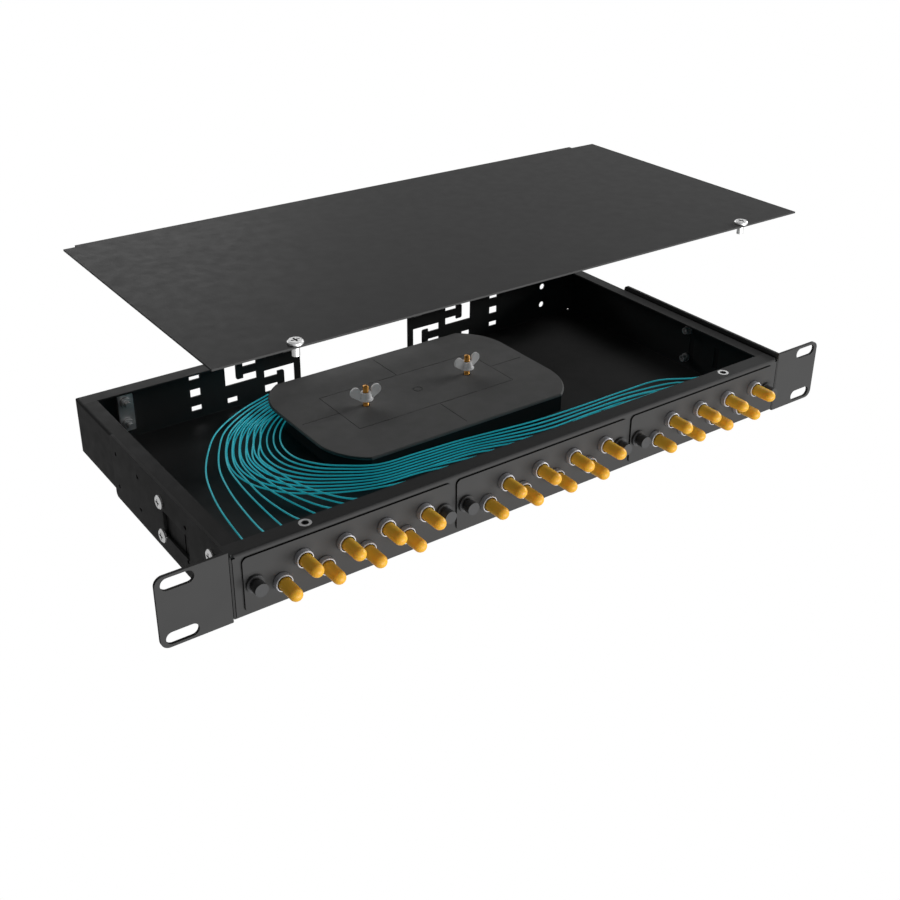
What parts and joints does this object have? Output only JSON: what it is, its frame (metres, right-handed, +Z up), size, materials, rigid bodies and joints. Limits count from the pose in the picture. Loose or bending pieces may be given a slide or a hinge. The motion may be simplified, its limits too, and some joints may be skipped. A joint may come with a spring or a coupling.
{
  "type": "rack mounted fibre optic patch panel",
  "caption": "Low rack box with two slotted ears, plates of capped round fibre adapters, a splice tray with pigtails inside, and its top cover lifted off",
  "frame": {"origin": "centre of the four rack slots, on the plane of the ears' rear faces", "axes": "+X to the right seen from the front, +Y backwards into the rack, +Z up"},
  "size_m": [0.4826, 0.2324, 0.1427],
  "materials": {
    "box_paint": "fine powder coat, satin",
    "cover_paint": "fine powder coat, satin",
    "plate_paint": "fine powder coat, satin",
    "nickel": "nickel plated, half bright",
    "zinc": "zinc plated",
    "cap_rubber": "soft matt",
    "pin_plastic": "matt moulded",
    "fibre_jacket": "smooth",
    "connector_plastic": "smooth moulded",
    "tray_plastic": "matt moulded",
    "brass": "turned"
  },
  "bodies": {
    "frame": {"adapter_nuts": "nickel", "adapter_plate_1": "plate_paint", "adapter_plate_2": "plate_paint", "adapter_plate_3": "plate_paint", "adapters": "nickel", "bracket_inserts": "nickel", "bracket_screws": "zinc", "cable_clamp": "zinc", "chassis_base": "box_paint", "chassis_front": "box_paint", "chassis_rear": "box_paint", "clamp_screws": "zinc", "cover_inserts": "nickel", "pigtail_coil": "fibre_jacket", "pigtail_connectors": "connector_plastic", "pigtail_fibres_1": "fibre_jacket", "pigtail_fibres_2": "fibre_jacket", "pigtail_fibres_3": "fibre_jacket", "pin_grommets": "pin_plastic", "rack_bracket_left": "box_paint", "rack_bracket_right": "box_paint", "splice_holder": "tray_plastic", "splice_tray": "tray_plastic", "tray_studs": "brass"},
    "cover": {"top_cover": "cover_paint"},
    "cover_screw_left_body": {"cover_screw_left": "zinc"},
    "cover_screw_right_body": {"cover_screw_right": "zinc"},
    "dust_cap_01_body": {"dust_cap_01": "cap_rubber"},
    "dust_cap_02_body": {"dust_cap_02": "cap_rubber"},
    "dust_cap_03_body": {"dust_cap_03": "cap_rubber"},
    "dust_cap_04_body": {"dust_cap_04": "cap_rubber"},
    "dust_cap_05_body": {"dust_cap_05": "cap_rubber"},
    "dust_cap_06_body": {"dust_cap_06": "cap_rubber"},
    "dust_cap_07_body": {"dust_cap_07": "cap_rubber"},
    "dust_cap_08_body": {"dust_cap_08": "cap_rubber"},
    "dust_cap_09_body": {"dust_cap_09": "cap_rubber"},
    "dust_cap_10_body": {"dust_cap_10": "cap_rubber"},
    "dust_cap_11_body": {"dust_cap_11": "cap_rubber"},
    "dust_cap_12_body": {"dust_cap_12": "cap_rubber"},
    "dust_cap_13_body": {"dust_cap_13": "cap_rubber"},
    "dust_cap_14_body": {"dust_cap_14": "cap_rubber"},
    "dust_cap_15_body": {"dust_cap_15": "cap_rubber"},
    "dust_cap_16_body": {"dust_cap_16": "cap_rubber"},
    "dust_cap_17_body": {"dust_cap_17": "cap_rubber"},
    "dust_cap_18_body": {"dust_cap_18": "cap_rubber"},
    "dust_cap_19_body": {"dust_cap_19": "cap_rubber"},
    "dust_cap_20_body": {"dust_cap_20": "cap_rubber"},
    "dust_cap_21_body": {"dust_cap_21": "cap_rubber"},
    "dust_cap_22_body": {"dust_cap_22": "cap_rubber"},
    "dust_cap_23_body": {"dust_cap_23": "cap_rubber"},
    "dust_cap_24_body": {"dust_cap_24": "cap_rubber"},
    "push_pin_1_body": {"push_pin_1": "pin_plastic"},
    "push_pin_2_body": {"push_pin_2": "pin_plastic"},
    "push_pin_3_body": {"push_pin_3": "pin_plastic"},
    "push_pin_4_body": {"push_pin_4": "pin_plastic"},
    "push_pin_5_body": {"push_pin_5": "pin_plastic"},
    "push_pin_6_body": {"push_pin_6": "pin_plastic"},
    "tray_lid_body": {"tray_lid": "tray_plastic"},
    "wing_nut_left_body": {"wing_nut_left": "nickel"},
    "wing_nut_right_body": {"wing_nut_right": "nickel"}
  },
  "joints": [
    {"name": "cover_lift", "type": "slide", "parent": "frame", "child": "cover", "axis": [0, 0, 1], "range_m": [-0.10075, 0]},
    {"name": "cover_screw_left_turn", "type": "hinge", "parent": "cover", "child": "cover_screw_left_body", "pos_m": [-0.1555, 0.0047, 0.11985], "axis": [0, 0, 1], "continuous": true},
    {"name": "cover_screw_right_turn", "type": "hinge", "parent": "cover", "child": "cover_screw_right_body", "pos_m": [0.1555, 0.0047, 0.11985], "axis": [0, 0, 1], "continuous": true},
    {"name": "push_pin_1_pull", "type": "slide", "parent": "frame", "child": "push_pin_1_body", "axis": [0, -1, 0], "range_m": [0, 0.004]},
    {"name": "push_pin_2_pull", "type": "slide", "parent": "frame", "child": "push_pin_2_body", "axis": [0, -1, 0], "range_m": [0, 0.004]},
    {"name": "push_pin_3_pull", "type": "slide", "parent": "frame", "child": "push_pin_3_body", "axis": [0, -1, 0], "range_m": [0, 0.004]},
    {"name": "push_pin_4_pull", "type": "slide", "parent": "frame", "child": "push_pin_4_body", "axis": [0, -1, 0], "range_m": [0, 0.004]},
    {"name": "push_pin_5_pull", "type": "slide", "parent": "frame", "child": "push_pin_5_body", "axis": [0, -1, 0], "range_m": [0, 0.004]},
    {"name": "push_pin_6_pull", "type": "slide", "parent": "frame", "child": "push_pin_6_body", "axis": [0, -1, 0], "range_m": [0, 0.004]},
    {"name": "dust_cap_01_pull", "type": "slide", "parent": "frame", "child": "dust_cap_01_body", "axis": [0, -1, 0], "range_m": [0, 0.02]},
    {"name": "dust_cap_02_pull", "type": "slide", "parent": "frame", "child": "dust_cap_02_body", "axis": [0, -1, 0], "range_m": [0, 0.02]},
    {"name": "dust_cap_03_pull", "type": "slide", "parent": "frame", "child": "dust_cap_03_body", "axis": [0, -1, 0], "range_m": [0, 0.02]},
    {"name": "dust_cap_04_pull", "type": "slide", "parent": "frame", "child": "dust_cap_04_body", "axis": [0, -1, 0], "range_m": [0, 0.02]},
    {"name": "dust_cap_05_pull", "type": "slide", "parent": "frame", "child": "dust_cap_05_body", "axis": [0, -1, 0], "range_m": [0, 0.02]},
    {"name": "dust_cap_06_pull", "type": "slide", "parent": "frame", "child": "dust_cap_06_body", "axis": [0, -1, 0], "range_m": [0, 0.02]},
    {"name": "dust_cap_07_pull", "type": "slide", "parent": "frame", "child": "dust_cap_07_body", "axis": [0, -1, 0], "range_m": [0, 0.02]},
    {"name": "dust_cap_08_pull", "type": "slide", "parent": "frame", "child": "dust_cap_08_body", "axis": [0, -1, 0], "range_m": [0, 0.02]},
    {"name": "dust_cap_09_pull", "type": "slide", "parent": "frame", "child": "dust_cap_09_body", "axis": [0, -1, 0], "range_m": [0, 0.02]},
    {"name": "dust_cap_10_pull", "type": "slide", "parent": "frame", "child": "dust_cap_10_body", "axis": [0, -1, 0], "range_m": [0, 0.02]},
    {"name": "dust_cap_11_pull", "type": "slide", "parent": "frame", "child": "dust_cap_11_body", "axis": [0, -1, 0], "range_m": [0, 0.02]},
    {"name": "dust_cap_12_pull", "type": "slide", "parent": "frame", "child": "dust_cap_12_body", "axis": [0, -1, 0], "range_m": [0, 0.02]},
    {"name": "dust_cap_13_pull", "type": "slide", "parent": "frame", "child": "dust_cap_13_body", "axis": [0, -1, 0], "range_m": [0, 0.02]},
    {"name": "dust_cap_14_pull", "type": "slide", "parent": "frame", "child": "dust_cap_14_body", "axis": [0, -1, 0], "range_m": [0, 0.02]},
    {"name": "dust_cap_15_pull", "type": "slide", "parent": "frame", "child": "dust_cap_15_body", "axis": [0, -1, 0], "range_m": [0, 0.02]},
    {"name": "dust_cap_16_pull", "type": "slide", "parent": "frame", "child": "dust_cap_16_body", "axis": [0, -1, 0], "range_m": [0, 0.02]},
    {"name": "dust_cap_17_pull", "type": "slide", "parent": "frame", "child": "dust_cap_17_body", "axis": [0, -1, 0], "range_m": [0, 0.02]},
    {"name": "dust_cap_18_pull", "type": "slide", "parent": "frame", "child": "dust_cap_18_body", "axis": [0, -1, 0], "range_m": [0, 0.02]},
    {"name": "dust_cap_19_pull", "type": "slide", "parent": "frame", "child": "dust_cap_19_body", "axis": [0, -1, 0], "range_m": [0, 0.02]},
    {"name": "dust_cap_20_pull", "type": "slide", "parent": "frame", "child": "dust_cap_20_body", "axis": [0, -1, 0], "range_m": [0, 0.02]},
    {"name": "dust_cap_21_pull", "type": "slide", "parent": "frame", "child": "dust_cap_21_body", "axis": [0, -1, 0], "range_m": [0, 0.02]},
    {"name": "dust_cap_22_pull", "type": "slide", "parent": "frame", "child": "dust_cap_22_body", "axis": [0, -1, 0], "range_m": [0, 0.02]},
    {"name": "dust_cap_23_pull", "type": "slide", "parent": "frame", "child": "dust_cap_23_body", "axis": [0, -1, 0], "range_m": [0, 0.02]},
    {"name": "dust_cap_24_pull", "type": "slide", "parent": "frame", "child": "dust_cap_24_body", "axis": [0, -1, 0], "range_m": [0, 0.02]},
    {"name": "tray_lid_lift", "type": "slide", "parent": "frame", "child": "tray_lid_body", "axis": [0, 0, 1], "range_m": [0, 0.0042]},
    {"name": "wing_nut_left_turn", "type": "hinge", "parent": "frame", "child": "wing_nut_left_body", "pos_m": [-0.0405, 0.1297, 0.0046], "axis": [0, 0, 1], "continuous": true},
    {"name": "wing_nut_right_turn", "type": "hinge", "parent": "frame", "child": "wing_nut_right_body", "pos_m": [0.0405, 0.1297, 0.0046], "axis": [0, 0, 1], "continuous": true}
  ]
}
